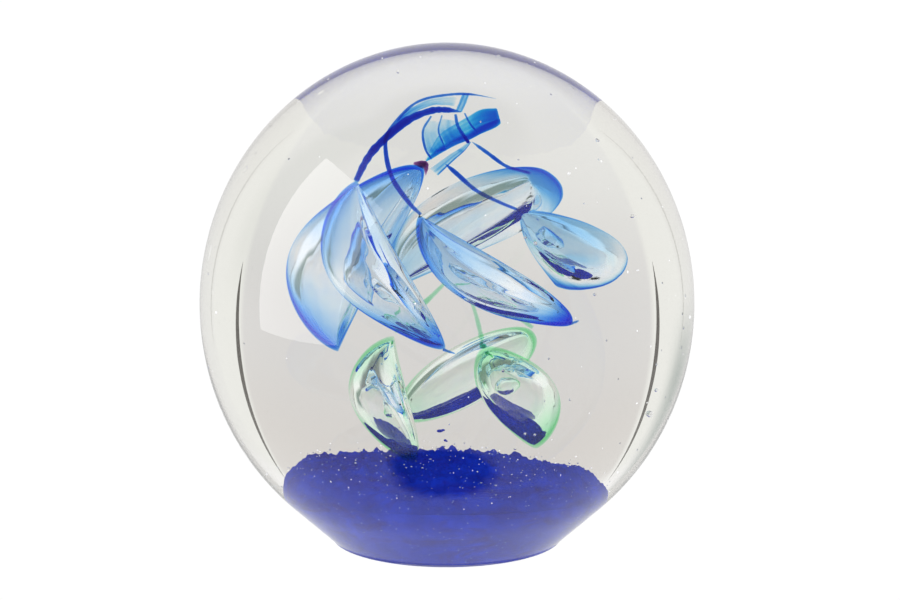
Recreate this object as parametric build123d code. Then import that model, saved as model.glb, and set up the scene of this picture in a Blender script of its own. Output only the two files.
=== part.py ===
from build123d import *
import math
import os

# Glass paperweight: a clear crystal ball with a cobalt ground, five blue air pods in an upper
# ring, three green ones in a lower ring, and the twisted threads and veils that join them.
# Frame: origin at the centre of the flat base, +Z up through the axis of the ball. All in mm.

# ---------------------------------------------------------------- driving dimensions
R_BODY = 42.0            # largest radius of the clear body
H_SEMI = 44.4            # vertical semi-axis of its upper part
Z_CENTRE = 41.2          # height of the widest section
R_FOOT = 19.0            # radius of the ground flat base
FOOT_BEVEL = 0.6         # small polished bevel round the base

GROUND_BOTTOM = 1.6      # clear skin left under the cobalt ground
GROUND_R_LOW = 18.0      # radius of the ground at its bottom
GROUND_R_TOP = 19.4      # radius it would have at z = 24
GROUND_CAP = (36.0, 28.0, 20.0)      # semi-axes of the ellipsoid that forms its domed top
GROUND_CAP_AT = (-3.0, 3.0, 3.6)     # centre of that ellipsoid

WALL = 0.45              # thickness of the coloured lining of a pod
NIP = 1.3                # extra length of solid colour at a pod's pinched ends
NECK = 0.2               # radius of the tiny flat at each end of a pod


def polar(deg, r, z):
    a = math.radians(deg)
    return Vector(r * math.cos(a), r * math.sin(a), z)


# ---------------------------------------------------------------- helpers
def section(centre, out, side, w, h, seam):
    """Flat ellipse w along out and h along side. Its curve starts where it faces seam, which
    keeps the sections of a loft in line when the ellipse turns."""
    plane = Plane(origin=centre, x_dir=out, z_dir=out.cross(side))
    start = math.atan2(seam.dot(side), seam.dot(out))
    turns = [start + i * math.pi / 4 for i in range(8)]
    curve = Spline(*[(w * math.cos(a), h * math.sin(a)) for a in turns], periodic=True)
    return (plane * make_face(curve)).face()


def square_to(direction, along):
    return (direction - along * direction.dot(along)).normalized()


def pod_solid(apex, tip, width, thick, turn, lean, skew, blunt, seat, wall=0.0, nip=0.0):
    """Blade-shaped bubble: a straight inner edge from apex to tip and an outward belly.

    width is the radial size of the belly, thick its size round the ring; turn holds the
    azimuths the belly faces at the apex and at the tip; skew moves the belly along the chord,
    blunt rounds its ends, seat shifts it inward across the chord. wall and nip shrink it.
    """
    p0, p1 = polar(*apex), polar(*tip)
    chord = p1 - p0
    along = chord.normalized()
    lost = nip / chord.length

    def facing(t):
        a = math.radians(turn[0] + (turn[1] - turn[0]) * t)
        return square_to(Vector(math.cos(a), math.sin(a), lean), along)

    faces = []
    for t in (0.0, 0.02, 0.08, 0.2, 0.36, 0.52, 0.68, 0.82, 0.93, 0.985, 1.0):
        out = facing(t)
        f = math.sin(math.pi * t ** skew) ** blunt if 0 < t < 1 else 0.0
        skin = wall * min(1.0, 0.35 + f)
        w, h = max(width / 2 * f - skin, NECK), max(thick / 2 * f - skin, NECK)
        centre = p0 + chord * (lost + (1 - 2 * lost) * t) + out * (width / 2 * f * (1 - seat))
        faces.append(section(centre, out, along.cross(out), w, h, facing(0.5)))
    return loft(faces)


def smooth_path(points):
    return Spline(*[Vector(*p) for p in points])


def thread(points, radii, count=9):
    """Drawn-out glass thread: a loft of circles along a smooth path, tapering as radii says."""
    path = smooth_path(points)
    out = square_to(Vector(0.3, 0.5, 0.8), path % 0)
    faces = []
    for i in range(count):
        t = i / (count - 1)
        s = t * (len(radii) - 1)
        k = min(int(s), len(radii) - 2)
        r = radii[k] + (radii[k + 1] - radii[k]) * (s - k)
        out = square_to(out, path % t)
        faces.append(section(path @ t, out, (path % t).cross(out), r, r, out))
    return loft(faces)


def sheet(edge_a, edge_b, thick, margin=0.0, count=6):
    """Thin film between two curves: a smooth surface thickened to both sides."""
    path_a, path_b = smooth_path(edge_a), smooth_path(edge_b)
    rows = []
    for i in range(count):
        a, b = path_a @ (i / (count - 1)), path_b @ (i / (count - 1))
        unit = (b - a).normalized()
        a, b = a + unit * margin, b - unit * margin
        rows.append([a + (b - a) * s for s in (0.0, 1 / 3, 2 / 3, 1.0)])
    film = Face.make_surface_from_array_of_points(rows)
    return thicken(film, thick / 2, both=True)


def flat_rod(edge_a, edge_b, thick):
    """Flattened rod: a loft of ellipses that reach from one edge line to the other."""
    pts_a, pts_b = [Vector(*p) for p in edge_a], [Vector(*p) for p in edge_b]
    mids = [(a + b) * 0.5 for a, b in zip(pts_a, pts_b)]
    faces = []
    for i, (a, b) in enumerate(zip(pts_a, pts_b)):
        out = (b - a).normalized()
        run = square_to(mids[min(i + 1, len(mids) - 1)] - mids[max(i - 1, 0)], out)
        half = (b - a).length / 2
        faces.append(section(mids[i], out, run.cross(out), half, min(thick / 2, 0.7 * half), out))
    return loft(faces)


# ---------------------------------------------------------------- the pods
# apex and tip are (azimuth in degrees, radius, height); the ring swirls down anticlockwise.
PODS = {
    "blue_pod_1": dict(apex=(106, 9.4, 55.3), tip=(183, 12.4, 35.8), width=10.2, thick=7.0,
                       turn=(106, 183), lean=-0.1, skew=0.95, blunt=0.5, seat=0.0),
    "blue_pod_2": dict(apex=(190, 11.2, 58.0), tip=(269, 13.0, 38.3), width=10.4, thick=5.8,
                       turn=(190, 269), lean=-0.5, skew=1.0, blunt=0.5, seat=0.0),
    "blue_pod_3": dict(apex=(249, 10.2, 55.7), tip=(343, 15.6, 40.0), width=10.4, thick=5.8,
                       turn=(249, 343), lean=-0.6, skew=1.0, blunt=0.55, seat=0.0),
    "blue_pod_4": dict(apex=(336, 9.9, 54.2), tip=(399, 14.2, 41.8), width=10.0, thick=6.6,
                       turn=(336, 399), lean=-0.5, skew=0.95, blunt=0.5, seat=0.0),
    "blue_pod_5": dict(apex=(35, 11.4, 54.7), tip=(116, 11.6, 41.2), width=10.6, thick=7.2,
                       turn=(35, 116), lean=0.1, skew=0.95, blunt=0.5, seat=0.0),
    "green_pod_1": dict(apex=(198, 6.4, 38.0), tip=(248, 10.6, 22.7), width=8.0, thick=6.2,
                        turn=(198, 248), lean=-0.2, skew=1.2, blunt=0.45, seat=0.0),
    "green_pod_2": dict(apex=(313, 6.2, 37.1), tip=(339, 11.3, 24.2), width=8.0, thick=8.6,
                        turn=(285, 340), lean=-0.2, skew=1.0, blunt=0.55, seat=0.3),
    "green_pod_3": dict(apex=(34, 10.9, 36.8), tip=(124, 8.5, 27.2), width=7.0, thick=6.4,
                        turn=(75, 125), lean=-0.1, skew=1.0, blunt=0.45, seat=0.6),
}

# ---------------------------------------------------------------- threads, crown and veils
# Each thread starts at a pod's apex and winds up clockwise into the crown.
THREADS = {
    "blue_thread_2": ([(-10.9, -1.8, 58.35), (-9.7, 0.0, 60.0), (-8.0, 2.0, 61.3), (-4.7, 4.5, 63.2),
                       (-2.0, 5.0, 64.3), (-0.2, 4.4, 64.8), (1.6, 3.3, 65.1)],
                      [0.25, 0.4, 0.55, 0.5, 0.35]),
    "blue_thread_3": ([(-3.75, -9.35, 56.1), (-4.9, -8.8, 57.2), (-7.0, -6.5, 59.9),
                       (-7.7, -3.0, 62.4), (-7.2, 0.2, 63.8), (-4.8, 3.0, 65.7), (-2.7, 4.0, 66.7),
                       (0.5, 4.2, 67.3), (3.0, 3.3, 67.9), (6.2, 1.0, 68.7)],
                      [0.22, 0.35, 0.3, 0.2, 0.2, 0.2, 0.12]),
    "blue_thread_4": ([(8.8, -4.3, 54.7), (6.6, -6.0, 56.3), (3.7, -7.0, 58.3), (1.2, -6.4, 60.5),
                       (-0.2, -5.0, 61.3)], [0.2, 0.3, 0.35, 0.45, 0.25]),
    "blue_thread_5": ([(9.0, 4.6, 56.4), (8.1, 3.6, 57.1), (6.7, 2.5, 58.1), (4.8, 1.4, 60.2),
                       (3.0, 1.8, 61.5)], [0.2, 0.22, 0.28, 0.32, 0.2]),
    "crown_rib_1": ([(-2.1, 4.1, 63.5), (-2.8, 3.5, 62.3), (-2.5, 4.5, 59.5), (-1.7, 6.2, 57.3)],
                    [0.14, 0.16, 0.14]),
    "crown_rib_2": ([(-0.7, 3.7, 63.8), (-1.0, 3.5, 62.3), (-0.3, 5.0, 59.5)], [0.1, 0.12, 0.1]),
    "crown_rib_3": ([(1.1, 3.0, 64.3), (1.3, 2.5, 63.4), (2.2, 3.0, 61.4), (2.5, 4.4, 60.2)],
                    [0.18, 0.24, 0.22]),
    "crown_rib_4": ([(2.3, 2.8, 64.7), (2.7, 3.0, 63.6), (3.4, 4.0, 62.0)], [0.12, 0.14, 0.12]),
    "green_thread_1": ([(0.4, 2.0, 44.3), (-1.0, 1.0, 43.0), (-2.4, 0.0, 41.8), (-4.8, -1.0, 39.8),
                        (-5.95, -1.9, 38.35)], [0.2, 0.28, 0.4, 0.3]),
    "green_thread_2": ([(2.6, -3.0, 43.3), (3.4, -3.5, 40.9), (4.2, -4.3, 37.55)],
                       [0.15, 0.25, 0.35]),
    "green_thread_3": ([(8.6, 5.9, 37.8), (7.0, 5.4, 39.2), (3.6, 4.0, 42.3), (1.3, 2.5, 44.0)],
                       [0.25, 0.3, 0.2]),
}

# flattened rod that runs from the apex of blue_pod_1 up to its own blunt end: lower edge, upper
# edge, thickness
STEM = ([(-2.3, 8.9, 55.9), (-0.5, 8.2, 57.4), (1.0, 7.5, 58.6), (2.5, 6.6, 59.7),
         (4.0, 5.8, 61.0), (6.2, 5.0, 62.6)],
        [(-2.2, 8.8, 56.5), (-0.9, 7.8, 59.6), (0.9, 6.8, 61.6), (2.5, 5.8, 63.2),
         (4.1, 5.2, 64.5), (5.9, 4.5, 65.0)], 1.3)

# films: one edge, the other edge, thickness, clear margin left at both edges
SHEETS = {
    # pale film between the arc of thread 3 and thread 2
    "crown_veil": ([(-6.0, 2.0, 64.7), (-4.7, 3.2, 65.5), (-2.6, 4.1, 66.4), (-0.4, 4.4, 66.8),
                    (1.2, 4.1, 67.0)],
                   [(-6.2, 3.2, 63.1), (-4.4, 4.5, 64.1), (-1.9, 4.9, 65.1), (-0.4, 4.4, 65.5),
                    (0.9, 3.8, 65.7)], 0.3, 0.1),
    # folded ribbon that hangs from the arc to the end of thread 2
    "crown_fold": ([(2.55, 3.55, 67.3), (2.3, 3.3, 66.6), (2.0, 3.1, 65.75)],
                   [(1.75, 3.9, 66.9), (1.4, 3.6, 66.1), (1.3, 3.5, 65.7)], 0.3, 0.0),
    "crown_panel_1": ([(-1.8, 3.95, 63.5), (-2.5, 3.5, 62.3), (-2.2, 4.6, 59.8), (-1.6, 5.6, 58.4)],
                      [(-0.95, 3.7, 63.5), (-1.25, 3.5, 62.3), (-0.6, 5.0, 59.5),
                       (-0.4, 5.6, 58.6)], 0.25, 0.05),
    "crown_panel_2": ([(-0.45, 3.6, 63.9), (-0.7, 3.4, 62.6), (0.1, 4.7, 60.0)],
                      [(0.7, 3.1, 64.0), (0.9, 2.6, 63.2), (1.7, 3.2, 61.2)], 0.25, 0.05),
    # short dark-edged film under the stem
    "lower_veil": ([(-1.3, 5.4, 57.0), (0.2, 5.6, 58.1), (1.4, 5.2, 59.1)],
                   [(-0.4, 5.2, 56.3), (0.8, 5.2, 57.6), (2.0, 5.0, 58.9)], 0.35, 0.0),
}

TAILS = {
    "pod_tail_2": ([(0.0, -13.15, 38.1), (0.5, -13.1, 37.9), (1.1, -13.0, 37.7)], [0.22, 0.16, 0.08]),
    "pod_tail_3": ([(15.15, -4.5, 40.05), (15.5, -4.4, 40.15), (15.9, -4.3, 40.3)],
                   [0.22, 0.16, 0.08]),
}

SPECKS = {"frit_speck_1": ((-0.8, -1.0, 26.4), 0.5), "frit_speck_2": ((-0.2, -1.6, 25.3), 0.3)}

# ---------------------------------------------------------------- solids
k, m = R_FOOT / R_BODY, Z_CENTRE / H_SEMI
psi = math.asin(1 / math.hypot(k, m)) - math.atan2(k, m)     # where the cone meets the spheroid
r_join, z_join = R_BODY * math.cos(psi), Z_CENTRE - H_SEMI * math.sin(psi)


def on_body(angle):
    return (R_BODY * math.cos(angle), 0, Z_CENTRE + H_SEMI * math.sin(angle))


flank = (math.atan2(r_join - R_FOOT, z_join))
side = Polyline((0, 0, 0), (R_FOOT - FOOT_BEVEL, 0, 0),
                (R_FOOT + FOOT_BEVEL * math.tan(flank), 0, FOOT_BEVEL), (r_join, 0, z_join))
turn_up = (math.pi / 2 + psi) / 8
crown = Spline(*[on_body(-psi + turn_up * i) for i in range(9)],
               tangents=[(math.sin(flank), 0, math.cos(flank)), (-1, 0, 0)])
axis = Line((0, 0, Z_CENTRE + H_SEMI), (0, 0, 0))
body = revolve(make_face([side, crown, axis]), Axis.Z)

plug = revolve(make_face(Polyline((0, 0, GROUND_BOTTOM), (GROUND_R_LOW, 0, GROUND_BOTTOM),
                                  (GROUND_R_TOP, 0, 24.0), (0, 0, 24.0), close=True)), Axis.Z)
cap = Pos(*GROUND_CAP_AT) * scale(Sphere(1.0), by=GROUND_CAP)
ground = plug & cap

parts = {"cobalt_ground": ground}
voids = []
for name, spec in PODS.items():
    outer = pod_solid(**spec)
    hollow = pod_solid(**spec, wall=WALL, nip=NIP)
    parts[name] = outer - hollow
    voids.append(outer)
for name, (points, radii) in {**THREADS, **TAILS}.items():
    parts[name] = thread(points, radii)
parts["crown_stem"] = flat_rod(*STEM)
for name, (edge_a, edge_b, thick, margin) in SHEETS.items():
    parts[name] = sheet(edge_a, edge_b, thick, margin)
for name, (centre, radius) in SPECKS.items():
    parts[name] = Pos(*centre) * Sphere(radius)

# The body is cast round everything else: it is the ball less every inclusion.
solid_parts = [solid for name, solid in parts.items() if name not in PODS]
parts["clear_body"] = body.cut(*voids, *solid_parts)

os.makedirs("parts", exist_ok=True)
for name, solid in parts.items():
    export_step(solid, f"parts/{name}.step")
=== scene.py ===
import bpy
import bmesh
import math
import numpy as np
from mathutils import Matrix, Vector, noise


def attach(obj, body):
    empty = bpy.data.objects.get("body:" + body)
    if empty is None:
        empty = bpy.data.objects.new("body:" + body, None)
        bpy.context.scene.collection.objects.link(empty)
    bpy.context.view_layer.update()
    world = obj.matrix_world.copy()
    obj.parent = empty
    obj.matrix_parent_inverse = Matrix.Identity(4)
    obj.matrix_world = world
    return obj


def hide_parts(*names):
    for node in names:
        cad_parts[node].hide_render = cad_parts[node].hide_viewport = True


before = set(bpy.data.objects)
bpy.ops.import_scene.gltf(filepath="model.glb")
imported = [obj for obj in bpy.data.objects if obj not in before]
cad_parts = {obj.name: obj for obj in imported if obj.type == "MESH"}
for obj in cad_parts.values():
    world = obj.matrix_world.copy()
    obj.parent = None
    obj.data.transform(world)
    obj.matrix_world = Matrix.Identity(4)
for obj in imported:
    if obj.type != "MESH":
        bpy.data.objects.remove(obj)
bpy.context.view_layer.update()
MM = 0.001
rng = np.random.default_rng(17)
scene = bpy.context.scene

# ------------------------------------------------------------------ sizes, mm
# They are the CAD's, but for these: the back of the ball is a little out of round, blue_pod_1, 4
# and 5 are a little fuller or rounder, the radii of blue_thread_2, 4 and 5 differ slightly, and
# crown_fold and lower_veil are a little longer.
R_BODY = 42.0            # largest radius of the clear body
H_SEMI = 44.4            # vertical semi-axis of its upper part
Z_CENTRE = 41.2          # height of the widest section
R_FOOT = 19.0            # radius of the ground flat base
BEVEL = 0.6              # small polished bevel round the base
BACK_WIDEST = 43.3       # height of the widest section at the back
N_GLASS = 1.5            # refractive index of the glass

# apex and tip as (azimuth in degrees, radius, height); width and thickness of the belly; azimuths
# it faces at the apex and at the tip; its lean; skew along the chord; bluntness; inward seat
PODS = {
    "blue_pod_1": ((106, 9.4, 55.3), (183, 12.4, 35.8), 10.2, 7.0, (106, 183), -0.1, 0.98, 0.48, 0.0),
    "blue_pod_2": ((190, 11.2, 58.0), (269, 13.0, 38.3), 10.4, 5.8, (190, 269), -0.5, 1.0, 0.5, 0.0),
    "blue_pod_3": ((249, 10.2, 55.7), (343, 15.6, 40.0), 10.4, 5.8, (249, 343), -0.6, 1.0, 0.55, 0.0),
    "blue_pod_4": ((336, 9.9, 54.2), (399, 14.2, 41.8), 11.6, 7.8, (336, 399), -0.5, 0.86, 0.44, 0.0),
    "blue_pod_5": ((35, 11.4, 54.7), (116, 11.6, 41.2), 11.0, 7.4, (35, 116), 0.1, 0.87, 0.44, 0.0),
    "green_pod_1": ((198, 6.4, 38.0), (248, 10.6, 22.7), 8.0, 6.2, (198, 248), -0.2, 1.2, 0.45, 0.0),
    "green_pod_2": ((313, 6.2, 37.1), (339, 11.3, 24.2), 8.0, 8.6, (285, 340), -0.2, 1.0, 0.55, 0.3),
    "green_pod_3": ((34, 10.9, 36.8), (124, 8.5, 27.2), 7.0, 6.4, (75, 125), -0.1, 1.0, 0.45, 0.6),
}

# points of the centre line, then radii spread evenly along it
THREADS = {
    "blue_thread_2": ([(-10.9, -1.8, 58.35), (-9.7, 0.0, 60.0), (-8.0, 2.0, 61.3), (-4.7, 4.5, 63.2),
                       (-2.0, 5.0, 64.3), (-0.2, 4.4, 64.8), (1.6, 3.3, 65.1)],
                      [0.42, 0.5, 0.55, 0.42, 0.3]),
    "blue_thread_3": ([(-3.75, -9.35, 56.1), (-4.9, -8.8, 57.2), (-7.0, -6.5, 59.9),
                       (-7.7, -3.0, 62.4), (-7.2, 0.2, 63.8), (-4.8, 3.0, 65.7), (-2.7, 4.0, 66.7),
                       (0.5, 4.2, 67.3), (3.0, 3.3, 67.9), (6.2, 1.0, 68.7)],
                      [0.22, 0.35, 0.3, 0.2, 0.2, 0.2, 0.12]),
    "blue_thread_4": ([(8.8, -4.3, 54.7), (6.6, -6.0, 56.3), (3.7, -7.0, 58.3), (1.2, -6.4, 60.5),
                       (-0.2, -5.0, 61.3)], [0.18, 0.24, 0.28, 0.34, 0.22]),
    "blue_thread_5": ([(9.0, 4.6, 56.4), (8.1, 3.6, 57.1), (6.7, 2.5, 58.1), (4.8, 1.4, 60.2),
                       (3.0, 1.8, 61.5)], [0.2, 0.19, 0.22, 0.26, 0.2]),
    "crown_rib_1": ([(-2.1, 4.1, 63.5), (-2.8, 3.5, 62.3), (-2.5, 4.5, 59.5), (-1.7, 6.2, 57.3)],
                    [0.14, 0.16, 0.14]),
    "crown_rib_2": ([(-0.7, 3.7, 63.8), (-1.0, 3.5, 62.3), (-0.3, 5.0, 59.5)], [0.1, 0.12, 0.1]),
    "crown_rib_3": ([(1.1, 3.0, 64.3), (1.3, 2.5, 63.4), (2.2, 3.0, 61.4), (2.5, 4.4, 60.2)],
                    [0.18, 0.24, 0.22]),
    "crown_rib_4": ([(2.3, 2.8, 64.7), (2.7, 3.0, 63.6), (3.4, 4.0, 62.0)], [0.12, 0.14, 0.12]),
    "green_thread_1": ([(0.4, 2.0, 44.3), (-1.0, 1.0, 43.0), (-2.4, 0.0, 41.8), (-4.8, -1.0, 39.8),
                        (-5.95, -1.9, 38.35)], [0.2, 0.28, 0.4, 0.3]),
    "green_thread_2": ([(2.6, -3.0, 43.3), (3.4, -3.5, 40.9), (4.2, -4.3, 37.55)],
                       [0.15, 0.25, 0.35]),
    "green_thread_3": ([(8.6, 5.9, 37.8), (7.0, 5.4, 39.2), (3.6, 4.0, 42.3), (1.3, 2.5, 44.0)],
                       [0.25, 0.3, 0.2]),
    "pod_tail_2": ([(0.0, -13.15, 38.1), (0.5, -13.1, 37.9), (1.1, -13.0, 37.7)], [0.22, 0.16, 0.08]),
    "pod_tail_3": ([(15.15, -4.5, 40.05), (15.5, -4.4, 40.15), (15.9, -4.3, 40.3)],
                   [0.22, 0.16, 0.08]),
}

# films: one edge, then the other edge
SHEETS = {
    "crown_stem": ([(-2.3, 8.9, 55.9), (-0.5, 8.2, 57.4), (1.0, 7.5, 58.6), (2.5, 6.6, 59.7),
                    (4.0, 5.8, 61.0), (6.2, 5.0, 62.6)],
                   [(-2.2, 8.8, 56.5), (-0.9, 7.8, 59.6), (0.9, 6.8, 61.6), (2.5, 5.8, 63.2),
                    (4.1, 5.2, 64.5), (5.9, 4.5, 65.0)]),
    "crown_veil": ([(-6.0, 2.0, 64.7), (-4.7, 3.2, 65.5), (-2.6, 4.1, 66.4), (-0.4, 4.4, 66.8),
                    (1.2, 4.1, 67.0)],
                   [(-6.2, 3.2, 63.1), (-4.4, 4.5, 64.1), (-1.9, 4.9, 65.1), (-0.4, 4.4, 65.5),
                    (0.9, 3.8, 65.7)]),
    "crown_fold": ([(2.7, 3.7, 67.9), (2.3, 3.3, 66.6), (1.7, 2.9, 65.2)],
                   [(1.95, 4.1, 67.5), (1.5, 3.7, 66.3), (1.05, 3.3, 65.2)]),
    "crown_panel_1": ([(-1.8, 3.95, 63.5), (-2.5, 3.5, 62.3), (-2.2, 4.6, 59.8), (-1.6, 5.6, 58.4)],
                      [(-0.95, 3.7, 63.5), (-1.25, 3.5, 62.3), (-0.6, 5.0, 59.5),
                       (-0.4, 5.6, 58.6)]),
    "crown_panel_2": ([(-0.45, 3.6, 63.9), (-0.7, 3.4, 62.6), (0.1, 4.7, 60.0)],
                      [(0.7, 3.1, 64.0), (0.9, 2.6, 63.2), (1.7, 3.2, 61.2)]),
    "lower_veil": ([(-1.9, 5.3, 56.5), (0.2, 5.6, 58.1), (1.4, 5.2, 59.1), (2.3, 4.9, 60.0)],
                   [(-1.0, 5.1, 55.7), (0.8, 5.2, 57.6), (2.0, 5.0, 58.9), (2.8, 4.8, 60.2)]),
}


# ------------------------------------------------------------------ materials
def node_material(name):
    """A new material with its node tree, its main shader and its output."""
    mat = bpy.data.materials.new(name)
    mat.use_nodes = True
    nt = mat.node_tree
    return mat, nt, nt.nodes["Principled BSDF"], nt.nodes["Material Output"]


def absorb(nt, out, per_mm):
    """Volume absorption of so much per millimetre for red, green and blue."""
    density = max(per_mm) * 1000
    vol = nt.nodes.new("ShaderNodeVolumeAbsorption")
    vol.inputs["Density"].default_value = density
    vol.inputs["Color"].default_value = (*[1 - k * 1000 / density for k in per_mm], 1)
    nt.links.new(vol.outputs[0], out.inputs["Volume"])


def texture_noise(nt, vector, scale, detail=2.0, roughness=0.5, distortion=0.0):
    """Noise value at a place; without a vector it is read in the piece's own box."""
    tex = nt.nodes.new("ShaderNodeTexNoise")
    tex.inputs["Scale"].default_value = scale
    tex.inputs["Detail"].default_value = detail
    tex.inputs["Roughness"].default_value = roughness
    tex.inputs["Distortion"].default_value = distortion
    if vector:
        nt.links.new(vector, tex.inputs["Vector"])
    return tex.outputs["Fac"]


def colour_ramp(nt, value, low_at, low, high_at, high):
    """Colour that runs from low to high as the value goes from low_at to high_at."""
    node = nt.nodes.new("ShaderNodeValToRGB")
    first, last = node.color_ramp.elements
    first.position, last.position = low_at, high_at
    first.color, last.color = (*low, 1), (*high, 1)
    nt.links.new(value, node.inputs["Fac"])
    return node


def object_place(nt):
    return nt.nodes.new("ShaderNodeTexCoord").outputs["Object"]


def pulled(nt, vector, stretch):
    """The same place with its height scaled, so that a noise read there is drawn out."""
    node = nt.nodes.new("ShaderNodeMapping")
    node.inputs["Scale"].default_value = (1, 1, stretch)
    nt.links.new(vector, node.inputs["Vector"])
    return node.outputs["Vector"]


def mix_in(nt, fac, base, colour):
    """Lay a constant colour over a base colour."""
    node = nt.nodes.new("ShaderNodeMixRGB")
    node.inputs["Color2"].default_value = (*colour, 1)
    nt.links.new(fac, node.inputs["Fac"])
    nt.links.new(base, node.inputs["Color1"])
    return node.outputs["Color"]


def uneven_surface(nt, p, height, strength, distance):
    bump_node = nt.nodes.new("ShaderNodeBump")
    bump_node.inputs["Strength"].default_value = strength
    bump_node.inputs["Distance"].default_value = distance
    nt.links.new(height, bump_node.inputs["Height"])
    nt.links.new(bump_node.outputs[0], p.inputs["Normal"])


def clear_glass():
    mat, nt, p, out = node_material("clear_glass")
    p.inputs["Base Color"].default_value = (1, 1, 1, 1)
    p.inputs["Roughness"].default_value = 0.0
    p.inputs["IOR"].default_value = N_GLASS
    p.inputs["Transmission Weight"].default_value = 1.0
    # fire-polished skin: very slow ripples
    ripples = texture_noise(nt, object_place(nt), 38, detail=1.5)
    uneven_surface(nt, p, ripples, 0.06, 0.0006)
    absorb(nt, out, (0.0026, 0.0028, 0.0031))
    return mat


def streaks(nt, p, scale, stretch, low):
    """Faint drawn streaks in the tint: noise pulled out along the height, low colour to white."""
    tex = texture_noise(nt, pulled(nt, object_place(nt), stretch), scale, detail=4)
    tint = colour_ramp(nt, tex, 0.36, low, 0.58, (1, 1, 1))
    nt.links.new(tint.outputs["Color"], p.inputs["Base Color"])


def air_skin():
    """The wall of an air cavity: glass seen from the glass side, so its normals face the air."""
    mat, nt, p, _ = node_material("air_cavity_wall")
    streaks(nt, p, 420, 0.35, (0.95, 0.97, 1.0))
    p.inputs["Roughness"].default_value = 0.0
    p.inputs["IOR"].default_value = N_GLASS
    p.inputs["Transmission Weight"].default_value = 1.0
    return mat


def tinted(name, per_mm, base, low, scale=520):
    """Coloured glass melted into clear glass: no surface of its own, only absorption.

    base is its plain colour for views without refraction, low the colour of its streaks.
    """
    mat, nt, p, out = node_material(name)
    streaks(nt, p, scale, 0.3, low)
    p.inputs["Roughness"].default_value = 0.0
    p.inputs["IOR"].default_value = 1.0
    p.inputs["Transmission Weight"].default_value = 1.0
    p.inputs["Specular IOR Level"].default_value = 0.0
    absorb(nt, out, per_mm)
    mat.diffuse_color = (*base, 1)
    return mat


def cobalt():
    """Cobalt frit: mottled blue with darker purple veins round the foot and small pale specks."""
    mat, nt, p, _ = node_material("cobalt_frit")
    place = object_place(nt)
    mottle = texture_noise(nt, place, 160, detail=6, roughness=0.65)
    blue = colour_ramp(nt, mottle, 0.32, (0.005, 0.028, 0.56), 0.72, (0.015, 0.066, 0.98))
    veins = texture_noise(nt, pulled(nt, place, 2.6), 75, detail=8, roughness=0.7, distortion=1.2)
    vein_mask = colour_ramp(nt, veins, 0.47, (0, 0, 0), 0.68, (0.7, 0.7, 0.7))
    grains = nt.nodes.new("ShaderNodeTexVoronoi")
    grains.inputs["Scale"].default_value = 900
    nt.links.new(place, grains.inputs["Vector"])
    speck_mask = colour_ramp(nt, grains.outputs["Distance"], 0.04, (1, 1, 1), 0.13, (0, 0, 0))
    veined = mix_in(nt, vein_mask.outputs["Color"], blue.outputs["Color"], (0.030, 0.012, 0.34))
    specked = mix_in(nt, speck_mask.outputs["Color"], veined, (0.30, 0.42, 0.95))
    nt.links.new(specked, p.inputs["Base Color"])
    uneven_surface(nt, p, mottle, 0.5, 0.0004)
    p.inputs["Roughness"].default_value = 0.6
    p.inputs["Specular IOR Level"].default_value = 0.0
    return mat


def milky_seed_with_painted_glow():
    """Unmelted seed: a milky speck, slightly uneven, with a painted glow: it gives out a little light
    though it is no lamp.
    """
    mat, nt, p, _ = node_material("milky_seed_painted_glow")
    cloud = texture_noise(nt, None, 4000)
    milk = colour_ramp(nt, cloud, 0.0, (0.75, 0.80, 0.85), 1.0, (1, 1, 1))
    nt.links.new(milk.outputs["Color"], p.inputs["Base Color"])
    p.inputs["Roughness"].default_value = 0.5
    # painted glow: emission that makes the specks shine as bright points
    p.inputs["Emission Color"].default_value = (1, 1, 1, 1)
    p.inputs["Emission Strength"].default_value = 0.7
    return mat


CLEAR = clear_glass()
AIR = air_skin()
MILKY_SEED_PAINTED_GLOW = milky_seed_with_painted_glow()
BLUE_LINING = tinted("blue_lining", (2.7, 1.15, 0.06), (0.3, 0.5, 0.9), (0.93, 0.96, 1.0))
PALE_LINING = tinted("pale_blue_lining", (1.3, 0.50, 0.06), (0.4, 0.65, 0.95), (0.93, 0.97, 1.0))
GREEN_LINING = tinted("green_lining", (0.55, 0.07, 0.38), (0.5, 0.85, 0.6), (0.96, 1.0, 0.97))
BLUE_THREAD = tinted("blue_thread", (8.5, 4.2, 0.75), (0.05, 0.15, 0.65), (0.80, 0.90, 1.0), 900)
BLUE_STEM = tinted("blue_stem", (8.5, 2.1, 0.30), (0.05, 0.15, 0.65), (0.80, 0.90, 1.0), 900)
BLUE_FILM = tinted("blue_film", (7.0, 2.5, 0.32), (0.35, 0.6, 0.9), (0.86, 0.94, 1.0), 900)
GREEN_THREAD = tinted("green_thread", (1.6, 0.35, 1.0), (0.5, 0.8, 0.6), (0.92, 1.0, 0.95), 900)
BROWN_KNOT = tinted("brown_knot", (3.4, 5.6, 2.8), (0.25, 0.05, 0.3), (0.85, 0.75, 0.9), 900)
GREEN_KNOT = tinted("green_knot", (7.0, 1.4, 2.2), (0.0, 0.4, 0.25), (0.8, 0.95, 0.9), 900)
COBALT = cobalt()


# ------------------------------------------------------------------ mesh helpers
def add_mesh(name, verts, faces, mat, replaces=()):
    """A piece of the paperweight from points in mm; replaces names the CAD nodes it stands for."""
    mesh = bpy.data.meshes.new(name)
    mesh.from_pydata([tuple(v) for v in np.asarray(verts) * MM], [], faces)
    mesh.update()
    for poly in mesh.polygons:
        poly.use_smooth = True
    mesh.materials.append(mat)
    obj = bpy.data.objects.new(name, mesh)
    scene.collection.objects.link(obj)
    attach(obj, "root")
    if replaces:
        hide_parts(*replaces)
    return obj


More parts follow.
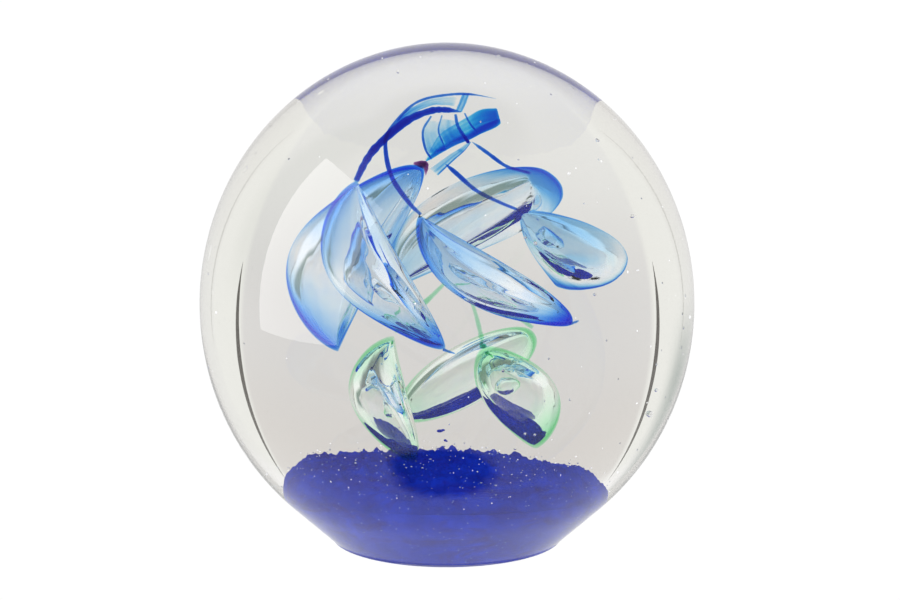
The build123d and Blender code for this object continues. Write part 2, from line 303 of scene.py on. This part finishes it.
def tube_faces(n, m, start=0, flip=False):
    """Quads of n rings of m points, closed at both ends by a fan on the end rings' centres."""
    faces = []
    for i in range(n - 1):
        for j in range(m):
            a, b = start + i * m + j, start + i * m + (j + 1) % m
            faces.append((a, b, b + m, a + m))
    first, last = start + n * m, start + n * m + 1
    for j in range(m):
        k = (j + 1) % m
        faces.append((start + k, start + j, first))
        faces.append((start + (n - 1) * m + j, start + (n - 1) * m + k, last))
    return [tuple(reversed(f)) for f in faces] if flip else faces


def closed(rings):
    """Ring points plus one point at each end."""
    return np.vstack([rings.reshape(-1, 3), rings[0].mean(0), rings[-1].mean(0)])


def spline(points, n):
    """Smooth curve through points: Catmull-Rom, n samples evenly spread over the spans."""
    p = np.array(points, float)
    p = np.vstack([2 * p[0] - p[1], p, 2 * p[-1] - p[-2]])
    out = []
    for s in np.linspace(0, len(points) - 1, n):
        k = min(int(s), len(points) - 2)
        t = s - k
        a, b, c, d = p[k:k + 4]
        out.append(0.5 * (2 * b + (c - a) * t + (2 * a - 5 * b + 4 * c - d) * t ** 2
                          + (3 * b - a - 3 * c + d) * t ** 3))
    return np.array(out)


def polar(deg, r, z):
    a = math.radians(deg)
    return np.array([r * math.cos(a), r * math.sin(a), z])


def unit(v):
    return v / np.linalg.norm(v)


# ------------------------------------------------------------------ clear body
BODY_POINTS = 256        # points round each ring of the body

# where the cone of the foot meets the spheroid above it
foot_ratio, rise_ratio = R_FOOT / R_BODY, Z_CENTRE / H_SEMI
psi = math.asin(1 / math.hypot(foot_ratio, rise_ratio)) - math.atan2(foot_ratio, rise_ratio)
r_join, z_join = R_BODY * math.cos(psi), Z_CENTRE - H_SEMI * math.sin(psi)
slope = (r_join - R_FOOT) / z_join


def body_profile():
    """Radius and height from the middle of the base, round the bevel, up the cone and the ball."""
    profile = [(r, 0.0) for r in np.linspace(0.8, R_FOOT - BEVEL - 0.25, 14)]
    for a in np.linspace(-90, 0, 7):
        c = math.cos(math.radians(a))
        s = math.sin(math.radians(a))
        profile.append((R_FOOT - BEVEL + (BEVEL + slope * BEVEL) * c, BEVEL * (1 + s)))
    for z in np.linspace(BEVEL, z_join, 16)[1:]:
        profile.append((R_FOOT + slope * z, z))
    for a in np.linspace(-psi, math.pi / 2, 150)[1:-1]:
        profile.append((R_BODY * math.cos(a), Z_CENTRE + H_SEMI * math.sin(a)))
    return profile


def back_swell(z):
    """Radius of the back over the radius of the round ball, at height z."""
    if z <= z_join:
        return 1.0
    top = Z_CENTRE + H_SEMI
    below = (BACK_WIDEST - z_join) / math.sqrt(1 - (r_join / R_BODY) ** 2)
    half = top - BACK_WIDEST if z > BACK_WIDEST else below
    swollen = math.sqrt(max(0.0, 1 - ((z - BACK_WIDEST) / half) ** 2))
    return swollen / math.sqrt(max(1e-9, 1 - ((z - Z_CENTRE) / H_SEMI) ** 2))


def clear_body():
    """Rings of the profile, each swollen or flattened at the back."""
    around = np.linspace(0, 2 * np.pi, BODY_POINTS, endpoint=False)
    rings = []
    for r, z in body_profile():
        swell = back_swell(z) - 1
        rings.append([(r * c, r * s * (1 + swell * max(0.0, s) ** 2), z)
                      for c, s in zip(np.cos(around), np.sin(around))])
    verts = closed(np.array(rings))
    verts[-2] = (0, 0, 0)
    verts[-1] = (0, 0, Z_CENTRE + H_SEMI)
    add_mesh("clear_body_glass", verts, tube_faces(len(rings), BODY_POINTS), CLEAR,
             ["clear_body"])


clear_body()


# ------------------------------------------------------------------ pods
RIPPLE = 0.09            # depth of the furrows along a pod
POD_RINGS = POD_POINTS = 90
NIP, AIR_NIP = 0.5, 0.53     # solid glass at a pod's pinched ends, inside the lining and at the air
AIR_GAP = 0.015          # from the lining's inner side to the wall of the air
LINING_MOST, LINING_LEAST = 0.45, 0.010      # limit of its varying part, and its constant part


def pod_rings(spec, skin, nip, seed):
    """Rings of a pod from apex to tip, shrunk by skin(t, b, f, down) and by nip at its ends.

    t runs from apex to tip, b round the ring from its outer side, f is the fullness there and
    down says how far that side faces the ground.
    """
    apex, tip, width, thick, turn, lean, skew, blunt, seat = spec
    p0, p1 = polar(*apex), polar(*tip)
    chord = p1 - p0
    length = np.linalg.norm(chord)
    along = chord / length
    lost = nip / length
    steps = (1 - np.cos(np.linspace(0.05, math.pi - 0.05, POD_RINGS))) / 2
    rings = []
    for t in steps:
        a = math.radians(turn[0] + (turn[1] - turn[0]) * t)
        out = np.array([math.cos(a), math.sin(a), lean])
        out = unit(out - along * (out @ along))
        side = np.cross(along, out)
        f = math.sin(math.pi * t ** skew) ** blunt
        u = lost + (1 - 2 * lost) * t
        centre = p0 + chord * u + out * (width / 2 * f * (1 - seat))
        ring = []
        for j in range(POD_POINTS):
            b = 2 * math.pi * j / POD_POINTS
            down = -(out[2] * math.cos(b) + side[2] * math.sin(b))
            v = skin(t, b, f, down)
            w, h = width / 2 * f - v, thick / 2 * f - v
            # shallow furrows that run from apex to tip
            q = Vector((2.4 * math.cos(b) + seed, 2.4 * math.sin(b), 0.7 * t))
            d = RIPPLE * f * (noise.noise(q * 1.2) + 0.45 * noise.noise(q * 3.0) - 0.35)
            w, h = max(w + d, 0.05), max(h + d, 0.05)
            ring.append(centre + out * (w * math.cos(b)) + side * (h * math.sin(b)))
        rings.append(ring)
    return np.array(rings)


def lining(base, apex, tip, inner, seed):
    """Film thickness: drawn thin over the belly, thicker at the pinched ends and underneath."""
    def skin(t, b, f, down):
        q = Vector((1.5 * math.cos(b) + seed, 1.5 * math.sin(b), 0.8 * t))
        streak = 1 + 1.0 * noise.noise(q * 2.1) + 0.5 * noise.noise(q * 5.3)
        ends = 1 + apex * max(0.0, 1 - t / 0.16) ** 3 + tip * max(0.0, 1 - (1 - t) / 0.20) ** 2
        sag = 1 + 0.9 * max(0.0, down) ** 2 + inner * max(0.0, -math.cos(b)) ** 6
        thick = min(base * max(0.35, streak) * ends * sag, LINING_MOST)
        return thick * min(1.0, 0.3 + f) + LINING_LEAST
    return skin


# lining thickness over the belly, and how much more towards the apex, tip and inner edge
LINING = {
    "blue_pod_1": (0.014, 16, 20, 4), "blue_pod_2": (0.012, 5, 22, 1),
    "blue_pod_3": (0.012, 8, 22, 1), "blue_pod_4": (0.009, 8, 8, 1), "blue_pod_5": (0.009, 12, 10, 1),
    "green_pod_1": (0.012, 2, 4, 1), "green_pod_2": (0.012, 7, 2, 0.5),
    "green_pod_3": (0.010, 1.5, 2, 0.5),
}
LINING_GLASS = {name: GREEN_LINING if name.startswith("green") else BLUE_LINING for name in PODS}
LINING_GLASS["blue_pod_4"] = LINING_GLASS["blue_pod_5"] = PALE_LINING


def pod(name, spec, number):
    """The coloured lining, and the wall of the air inside it, with normals that face the air."""
    skin = lining(*LINING[name], 7.3 * number)
    furrows = 11.0 * number
    outer = closed(pod_rings(spec, lambda t, b, f, down: 0.0, 0.0, furrows))
    inner = closed(pod_rings(spec, skin, NIP, furrows))
    hole = pod_rings(spec, lambda t, b, f, down: skin(t, b, f, down) + AIR_GAP, AIR_NIP, furrows)
    faces = tube_faces(POD_RINGS, POD_POINTS)
    faces += tube_faces(POD_RINGS, POD_POINTS, len(outer), flip=True)
    add_mesh(name + "_lining", np.vstack([outer, inner]), faces, LINING_GLASS[name],
             [name])
    add_mesh(name + "_air", closed(hole), tube_faces(POD_RINGS, POD_POINTS, flip=True), AIR)


for number, (name, spec) in enumerate(PODS.items()):
    pod(name, spec, number)


# ------------------------------------------------------------------ threads and films
INTO_APEX = 0.55         # how far a thread reaches back past its first point
OVER_RIBS = 0.4          # how far a crown panel reaches over the ribs beside it


def thread(name, points, radii, mat, replaces=()):
    """Slightly uneven round thread along a smooth curve, thinner at its far end."""
    n, m = 12 * (len(points) - 1) + 1, 16
    points = [np.array(q) for q in points]
    points[0] = points[0] + unit(points[0] - points[1]) * INTO_APEX
    path = spline(points, n)
    tangent = np.gradient(path, axis=0)
    out = np.array([0.3, 0.5, 0.8])
    rings = []
    for i in range(n):
        t = unit(tangent[i])
        out = unit(out - t * (out @ t))
        side = np.cross(t, out)
        r = np.interp(i / (n - 1), np.linspace(0, 1, len(radii)), radii)
        r *= min(1.0, 0.9 + i / n, 0.3 + 6 * (n - 1 - i) / n) * (
            1 + 0.18 * noise.noise(Vector((i * 0.35, r * 9, points[0][0]))))
        rings.append([path[i] + r * (out * math.cos(b) + side * math.sin(b))
                      for b in np.linspace(0, 2 * math.pi, m, endpoint=False)])
    add_mesh(name, closed(np.array(rings)), tube_faces(n, m), mat, replaces)


def film(name, edge_a, edge_b, thickness, mat):
    """Closed strip between two curves; thickness(s, u) in mm, s across it and u along it."""
    n, half = 56, 18
    a, b = spline(edge_a, n), spline(edge_b, n)
    if "panel" in name:
        reach = OVER_RIBS * (b - a) / np.linalg.norm(b - a, axis=1)[:, None]
        a, b = a - reach, b + reach
    run = np.gradient((a + b) / 2, axis=0)
    rings = []
    for i in range(n):
        u = i / (n - 1)
        across = unit(b[i] - a[i])
        r = unit(run[i] - across * (run[i] @ across))
        normal = np.cross(r, across)
        width = np.linalg.norm(b[i] - a[i])
        fade = math.sqrt(min(1.0, 0.02 + 12 * min(u, 1 - u)))
        ring = []
        for sgn in (-1, 1):
            for j in range(half):
                s = (1 - math.cos(math.pi * (j + 0.25) / half)) / 2
                s = s if sgn < 0 else 1 - s
                edge = math.sqrt(max(0.0, 1 - (2 * s - 1) ** 12))
                wave = 0.08 * noise.noise(Vector((s * 3, u * 5, 3.7)))
                h = max(0.01, thickness(s, u)) / 2 * fade * edge
                ring.append(a[i] + across * (width * s) + normal * (sgn * h + wave))
        rings.append(ring)
    add_mesh(name + "_glass", closed(np.array(rings)), tube_faces(n, 2 * half), mat, [name])


def bump(x, at, width):
    """Smooth swelling of height 1 at one place."""
    return math.exp(-((x - at) / width) ** 2)


def folds(s, u, scale=9.0):
    """Fine lengthwise streaks in a drawn film."""
    return 1 + 0.7 * noise.noise(Vector((s * scale, u * 1.5, 2.2)))


def stem_sheet(s, u):
    """A thin sheet with a thick rod along its lower edge and a heavy blunt end."""
    sheet = (0.14 + 0.12 * u) * folds(s, u) * (1.3 - 0.7 * s)
    rod = (0.9 + 0.1 * u) * bump(s, 0.07, 0.12 + 0.10 * bump(u, 0.1, 0.2))
    end = (0.42 + 0.45 * (1 - s)) * folds(s, u, 14) * max(0.0, (u - 0.58) / 0.42) ** 0.8
    end += 0.7 * bump(u, 0.985, 0.03)
    return sheet + rod + end


# thickness in mm at s across the film and u along it
FILMS = {
    "crown_stem": stem_sheet,
    "crown_veil": lambda s, u: (0.05 + 0.06 * s) * folds(s, u) + 0.07 * bump(u, 0.0, 0.3),
    "crown_fold": lambda s, u: 0.16 + 0.30 * bump(s, 0.08, 0.12) + 0.40 * bump(s, 0.92, 0.12),
    "crown_panel_1": lambda s, u: 0.04 + 0.16 * u ** 2 * folds(s, u),
    "crown_panel_2": lambda s, u: 0.05 + 0.16 * u ** 2 * folds(s, u) + 0.08 * bump(s, 0.55, 0.12),
    "lower_veil": lambda s, u: 0.11 * folds(s, u) + 0.60 * bump(s, 0.93, 0.09)
    + 0.20 * bump(s, 0.5, 0.08) + 0.16 * bump(u, 0.62, 0.05),
}

for name, (points, radii) in THREADS.items():
    green = name.startswith("green")
    thread(name + "_glass", points, radii, GREEN_THREAD if green else BLUE_THREAD,
           [name])
for name, (edge_a, edge_b) in SHEETS.items():
    stem = name == "crown_stem"
    film(name, edge_a, edge_b, FILMS[name], BLUE_STEM if stem else BLUE_FILM)


# ------------------------------------------------------------------ cobalt ground
CAP = (36.0, 28.0, 20.0)             # semi-axes of the ellipsoid that forms its domed top
CAP_AT = (-3.0, 3.0, 3.6)            # centre of that ellipsoid
RIM_FROM, RIM_WIDTH, RIM_DROP = 14.8, 4.2, 2.6       # the top falls away towards the rim
BACK_FROM, BACK_WIDTH, BACK_DROP = 6.0, 12.0, 1.5    # and towards the back
GROUND_BOTTOM = 1.6                  # clear skin left under it
GROUND_LOW, GROUND_FLARE = 18.2, 1.1     # radius of its side low down, and how much it widens
SIDE_TOP = 14.0                      # height where its side ends
GROUND_RIM = 19.3                    # radius of its rim
GROUND_POINTS = 320                  # points round each ring of it


def ground_top(x, y):
    """Height of the domed top."""
    q = 1 - ((x - CAP_AT[0]) / CAP[0]) ** 2 - ((y - CAP_AT[1]) / CAP[1]) ** 2
    rim = max(0.0, math.hypot(x, y) - RIM_FROM) / RIM_WIDTH
    back = max(0.0, y - BACK_FROM) / BACK_WIDTH
    return (CAP_AT[2] + CAP[2] * math.sqrt(max(q, 0.0)) - RIM_DROP * rim ** 1.6
            - BACK_DROP * back ** 2)


def lumps(x, y, z, f, amp):
    return amp * noise.noise(Vector((x, y, z)) * f)


def cobalt_ground():
    """Flat bottom, slightly uneven side, then a lumpy top from the rim in to the middle."""
    around = np.linspace(0, 2 * np.pi, GROUND_POINTS, endpoint=False)
    low = [(r, GROUND_BOTTOM) for r in np.linspace(1, 17.8, 10)]
    side = [(GROUND_LOW + GROUND_FLARE * min(1.0, (z - GROUND_BOTTOM) / 9.0), z)
            for z in np.linspace(1.8, SIDE_TOP, 18)]
    rings = []
    for r, z in low + side:
        ring = []
        for a in around:
            x, y = r * math.cos(a), r * math.sin(a)
            uneven = 0.0
            if z > GROUND_BOTTOM + 0.1:
                uneven = 0.02 * noise.noise(Vector((x * 0.3, y * 0.3, z * 0.25)))
            ring.append((x * (1 + uneven), y * (1 + uneven), z))
        rings.append(ring)
    rim_top = SIDE_TOP + 0.2
    for u in np.linspace(0, 1, 90):
        r0 = GROUND_RIM * (1 - u) + 0.05 * u
        edge = min(1.0, u * 12)      # the rim is rounded over
        ring = []
        for a in around:
            r = r0 * (1 + 0.02 * noise.noise(Vector((3 * math.cos(a), 3 * math.sin(a), 5))))
            x, y = r * math.cos(a), r * math.sin(a)
            z = ground_top(x, y)
            rough = lumps(x, y, 0, 0.35, 0.7) + lumps(x, y, 5, 1.0, 0.75) + lumps(x, y, 9, 2.4, 0.35)
            z += rough * min(1, 0.3 + u * 4)
            z = rim_top + (z - rim_top) * math.sin(edge * math.pi / 2)
            ring.append((x, y, z))
        rings.append(ring)
    rings = np.array(rings)
    add_mesh("cobalt_ground_frit", closed(rings), tube_faces(len(rings), GROUND_POINTS), COBALT,
             ["cobalt_ground"])


cobalt_ground()


# ------------------------------------------------------------------ knots, specks and seeds
def pebbles(name, spots, mat, replaces=(), flip=False, level=2, shape=(1, 1, 1)):
    """Many small rounded grains or bubbles in one mesh, each slightly irregular."""
    bm = bmesh.new()
    bmesh.ops.create_icosphere(bm, subdivisions=level, radius=1.0)
    ico = np.array([v.co for v in bm.verts])
    tri = [tuple(v.index for v in f.verts) for f in bm.faces]
    bm.free()
    verts, faces = [], []
    for c, r in spots:
        stretch = (1 + 0.15 * rng.normal(size=3)) * shape
        base = len(verts) * len(ico)
        verts.append(np.array(c) + ico * r * stretch)
        faces += [tuple(base + i for i in (reversed(t) if flip else t)) for t in tri]
    add_mesh(name, np.vstack(verts), faces, mat, replaces)


# coloured knots at the apexes of blue_pod_1 and green_pod_2, and the two stray specks of frit
knot = [(-3.0, 9.2, 55.5), (-2.6, 9.05, 55.5), (-2.25, 8.95, 55.3), (-2.25, 8.95, 54.2)]
thread("apex_knot_1", knot, [0.14, 0.42, 0.46, 0.26, 0.1], BROWN_KNOT)
pebbles("apex_knot_2", [((4.25, -4.5, 37.2), 0.36), ((4.05, -4.4, 37.45), 0.3)], GREEN_KNOT,
        level=3)
pebbles("frit_speck_1_grain", [((-0.8, -1.0, 26.4), 0.33), ((-0.45, -1.0, 26.5), 0.2)], COBALT,
        ["frit_speck_1"], level=3, shape=(1.2, 1, 0.6))
pebbles("frit_speck_2_grain", [((-0.2, -1.6, 25.3), 0.2), ((-0.05, -1.6, 25.2), 0.13)], COBALT,
        ["frit_speck_2"], level=3, shape=(1.2, 1, 0.7))

ON_FRIT, ROUND_FOOT, IN_GLASS = 260, 110, 170        # how many seeds, at most, in each place
TO_THE_RIGHT = 0.75      # share of those in the left of the glass that move to the right


def seed_spots():
    """Centres and radii of the seeds: on the frit, round the foot and scattered in the glass."""
    spots = []
    for _ in range(ON_FRIT):
        r, a = 18.5 * math.sqrt(rng.random()), rng.random() * 2 * math.pi
        x, y = r * math.cos(a), r * math.sin(a)
        spots.append(((x, y, ground_top(x, y) + 0.45 + abs(rng.normal()) * 0.5),
                      0.05 + 0.10 * rng.random() ** 2))
    for _ in range(ROUND_FOOT):
        a, z = rng.random() * 2 * math.pi, 3 + 18 * rng.random()
        r = 19.6 + 0.9 * rng.random()
        spots.append(((r * math.cos(a), r * math.sin(a), z), 0.05 + 0.07 * rng.random() ** 2))
    for _ in range(IN_GLASS):
        d = rng.normal(size=3)
        d = d / np.linalg.norm(d)
        if d[0] < 0 and rng.random() < TO_THE_RIGHT:
            d[0] = -d[0]
        out = 0.62 + 0.34 * rng.random()
        c = np.array([d[0] * R_BODY * out, d[1] * R_BODY * out, Z_CENTRE + d[2] * H_SEMI * out])
        if c[2] < SIDE_TOP:
            continue
        spots.append((c, 0.13 + 0.17 * rng.random() ** 2.5))
    return spots


# every other one is an air bubble, the rest are milky specks with a painted glow
spots = seed_spots()
pebbles("seed_bubbles", spots[0::2], AIR, flip=True)
pebbles("milky_seeds_painted_glow", [(c, 0.6 * r) for c, r in spots[1::2]], MILKY_SEED_PAINTED_GLOW)


# ------------------------------------------------------------------ stage, metres
MIDDLE = (0, 0, 0.041)               # what the studio is built round: about the ball's middle
DOME = 2.5                           # radius of the surroundings; their colours follow
BEHIND_LOW, BEHIND, BEHIND_HIGH = (0.93, 0.94, 0.92), (0.83, 0.825, 0.82), (0.79, 0.765, 0.74)
SIDES, FRONT = (0.99, 1.0, 0.96), (0.92, 0.92, 0.92)
UNDER, BELT, ABOVE = (1.0, 1.01, 1.0), (1.12, 1.12, 1.12), (0.30, 0.31, 0.32)
FAR_SIDE = (0.28, 0.36, 0.32)
FLAGS = {"flag_left": -42.3, "flag_right": 41.6}     # azimuths from straight behind
FLAG_DISTANCE, FLAG_MIDDLE = 0.55, 0.135             # distance, and the height of its middle
# height on a flag and half its width there: widest low down, running out to a point at each end
FLAG_ROWS = [(-0.26, 0.0005), (-0.20, 0.006), (-0.10, 0.009), (0.0, 0.008), (0.09, 0.006),
             (0.20, 0.001)]
SOFTBOX_AT = (-108, 20, 0.7)         # azimuth, elevation and distance
SOFTBOX_HALF = (0.31, 0.40)          # half its width and half its height


def emitter(name, colour, strength):
    mat = bpy.data.materials.new(name)
    mat.use_nodes = True
    nt = mat.node_tree
    nt.nodes.remove(nt.nodes["Principled BSDF"])
    em = nt.nodes.new("ShaderNodeEmission")
    em.inputs["Color"].default_value = (*colour, 1)
    em.inputs["Strength"].default_value = strength
    nt.links.new(em.outputs[0], nt.nodes["Material Output"].inputs["Surface"])
    return mat


def stage_piece(name, mesh, mat):
    mesh.materials.append(mat)
    obj = bpy.data.objects.new(name, mesh)
    scene.collection.objects.link(obj)
    return obj


def flat_piece(name, verts, faces, mat):
    mesh = bpy.data.meshes.new(name)
    mesh.from_pydata(verts, [], faces)
    return stage_piece(name, mesh, mat)


def hang(obj, centre, aim):
    """Turn a flat piece to face aim and hide it from the camera."""
    obj.location = centre
    obj.rotation_euler = (Vector(aim) - Vector(centre)).to_track_quat("Z", "Y").to_euler()
    obj.visible_camera = False


def at(az, el, dist):
    """Place seen from the middle at an azimuth from straight behind and an elevation."""
    a, e = math.radians(az), math.radians(el)
    return (dist * math.sin(a) * math.cos(e), dist * math.cos(a) * math.cos(e),
            MIDDLE[2] + dist * math.sin(e))


def dome_material():
    """Surroundings: soft grey behind, paler at both sides and in front, a bright belt above.

    They are white below and dark overhead, with one darker area far round to the left.
    """
    mat = emitter("soft_surroundings", (1, 1, 1), 1.0)
    nt = mat.node_tree
    em = next(n for n in nt.nodes if n.type == "EMISSION")
    coord = nt.nodes.new("ShaderNodeTexCoord")
    xyz = nt.nodes.new("ShaderNodeSeparateXYZ")
    nt.links.new(coord.outputs["Object"], xyz.inputs[0])

    def math_node(op, a, b=None):
        node = nt.nodes.new("ShaderNodeMath")
        node.operation = op
        for k, v in enumerate((a, b)):
            if isinstance(v, (int, float)):
                node.inputs[k].default_value = v
            elif v is not None:
                nt.links.new(v, node.inputs[k])
        return node.outputs[0]

    def ramp(value, lo, hi):
        node = nt.nodes.new("ShaderNodeMapRange")
        node.interpolation_type = "SMOOTHSTEP"
        node.inputs["From Min"].default_value = lo
        node.inputs["From Max"].default_value = hi
        nt.links.new(value, node.inputs["Value"])
        return node.outputs["Result"]

    def blend(fac, a, b):
        node = nt.nodes.new("ShaderNodeMixRGB")
        nt.links.new(fac, node.inputs["Fac"])
        for key, v in (("Color1", a), ("Color2", b)):
            if isinstance(v, tuple):
                node.inputs[key].default_value = (*v, 1)
            else:
                nt.links.new(v, node.inputs[key])
        return node.outputs["Color"]

    signed = math_node("ARCTAN2", xyz.outputs["X"], xyz.outputs["Y"])
    azimuth = math_node("ABSOLUTE", signed)
    height = math_node("DIVIDE", xyz.outputs["Z"], DOME)
    behind = blend(ramp(height, -0.6, -0.15), BEHIND_LOW, BEHIND)
    behind = blend(ramp(height, -0.15, 0.25), behind, BEHIND_HIGH)
    colour = blend(ramp(azimuth, math.radians(41), math.radians(44)), behind, SIDES)
    colour = blend(ramp(azimuth, math.radians(75), math.radians(100)), colour, FRONT)
    colour = blend(ramp(height, 0.40, 0.55), colour, BELT)
    far = math_node("MULTIPLY", ramp(signed, math.radians(-50), math.radians(-66)),
                    ramp(signed, math.radians(-100), math.radians(-80)))
    far = math_node("MULTIPLY", far, ramp(height, -0.16, 0.20))
    colour = blend(far, colour, FAR_SIDE)
    colour = blend(ramp(height, -0.70, -0.90), colour, UNDER)
    colour = blend(ramp(height, 0.82, 0.93), colour, ABOVE)
    nt.links.new(colour, em.inputs["Color"])
    return mat


def painted_shadow_material():
    """Painted shadow on the table in front of the foot: a dark patch fading out to the white round
    it.
    """
    mat = emitter("shaded_table", (1, 1, 1), 1.0)
    nt = mat.node_tree
    em = next(n for n in nt.nodes if n.type == "EMISSION")
    place = object_place(nt)
    far = nt.nodes.new("ShaderNodeVectorMath")
    far.operation = "LENGTH"
    nt.links.new(place, far.inputs[0])
    ragged = nt.nodes.new("ShaderNodeMath")
    ragged.operation = "MULTIPLY_ADD"
    ragged.inputs[1].default_value = 0.35
    nt.links.new(texture_noise(nt, place, 2.3), ragged.inputs[0])
    nt.links.new(far.outputs["Value"], ragged.inputs[2])
    fade = colour_ramp(nt, ragged.outputs[0], 0.74, (0.06, 0.07, 0.10), 1.0, UNDER)
    fade.color_ramp.interpolation = "EASE"
    nt.links.new(fade.outputs["Color"], em.inputs["Color"])
    return mat


def square(half_x, half_y):
    return [(-half_x, -half_y, 0), (half_x, -half_y, 0), (half_x, half_y, 0), (-half_x, half_y, 0)]


# the white table is what the camera sees; the glass sees the studio round it
floor = flat_piece("floor", square(6, 6), [(0, 1, 2, 3)], emitter("white_table", (1, 1, 1), 1.02))
floor.visible_transmission = floor.visible_glossy = floor.visible_diffuse = False

bm = bmesh.new()
bmesh.ops.create_uvsphere(bm, u_segments=96, v_segments=48, radius=DOME)
mesh = bpy.data.meshes.new("dome")
bm.to_mesh(mesh)
bm.free()
dome = stage_piece("dome", mesh, dome_material())
dome.location = MIDDLE
dome.visible_camera = False

turn = [2 * math.pi * k / 48 for k in range(48)]
# painted shadow: a dark card on the table in front of the foot, hidden from the camera and seen in
# the glass
shade = flat_piece("table_shade", [(math.cos(a), math.sin(a), 0) for a in turn],
                   [tuple(range(48))], painted_shadow_material())
shade.location, shade.scale = (-0.0012, -0.0480, 0.0004), (0.0250, 0.0148, 1)
shade.visible_camera = shade.visible_transmission = False

black = emitter("black_flag", (0.05, 0.04, 0.03), 1.0)
strip = [(side * half, height, 0) for height, half in FLAG_ROWS for side in (-1, 1)]
strip_faces = [(2 * k, 2 * k + 1, 2 * k + 3, 2 * k + 2) for k in range(len(FLAG_ROWS) - 1)]
for name, azimuth in FLAGS.items():
    x, y, _ = at(azimuth, 0, FLAG_DISTANCE)
    hang(flat_piece(name, strip, strip_faces, black), (x, y, FLAG_MIDDLE), (0, 0, FLAG_MIDDLE))

softbox = flat_piece("softbox", square(*SOFTBOX_HALF), [(0, 1, 2, 3)],
                     emitter("soft_white", (1, 1, 1), 3.4))
hang(softbox, at(*SOFTBOX_AT), MIDDLE)
softbox.visible_transmission = False

world = bpy.data.worlds.new("studio")
scene.world = world
world.use_nodes = True
world.node_tree.nodes["Background"].inputs["Color"].default_value = (1, 1, 1, 1)
world.node_tree.nodes["Background"].inputs["Strength"].default_value = 1.02

# ------------------------------------------------------------------ camera and light paths
CAMERA_TILT, CAMERA_DISTANCE = math.radians(13), 1.0
CAMERA_LENS = 235.5                          # mm, on a sensor 36 mm wide
SHIFT_X, SHIFT_Y = 1 / 300, 19 / 4500        # framing, as parts of the picture's width

cam = bpy.data.cameras.new("camera")
camera = bpy.data.objects.new("camera", cam)
scene.collection.objects.link(camera)
camera.location = (0, -CAMERA_DISTANCE * math.cos(CAMERA_TILT),
                   Z_CENTRE * MM + CAMERA_DISTANCE * math.sin(CAMERA_TILT))
camera.rotation_euler = (math.pi / 2 - CAMERA_TILT, 0, 0)
cam.lens = CAMERA_LENS
cam.sensor_width = 36
cam.shift_x, cam.shift_y = SHIFT_X, SHIFT_Y
cam.clip_start, cam.clip_end = 0.01, 50
scene.camera = camera

scene.view_settings.view_transform = "Standard"
scene.cycles.max_bounces = 40
scene.cycles.transmission_bounces = 40
scene.cycles.transparent_max_bounces = 40
scene.cycles.glossy_bounces = 12
scene.cycles.diffuse_bounces = 3
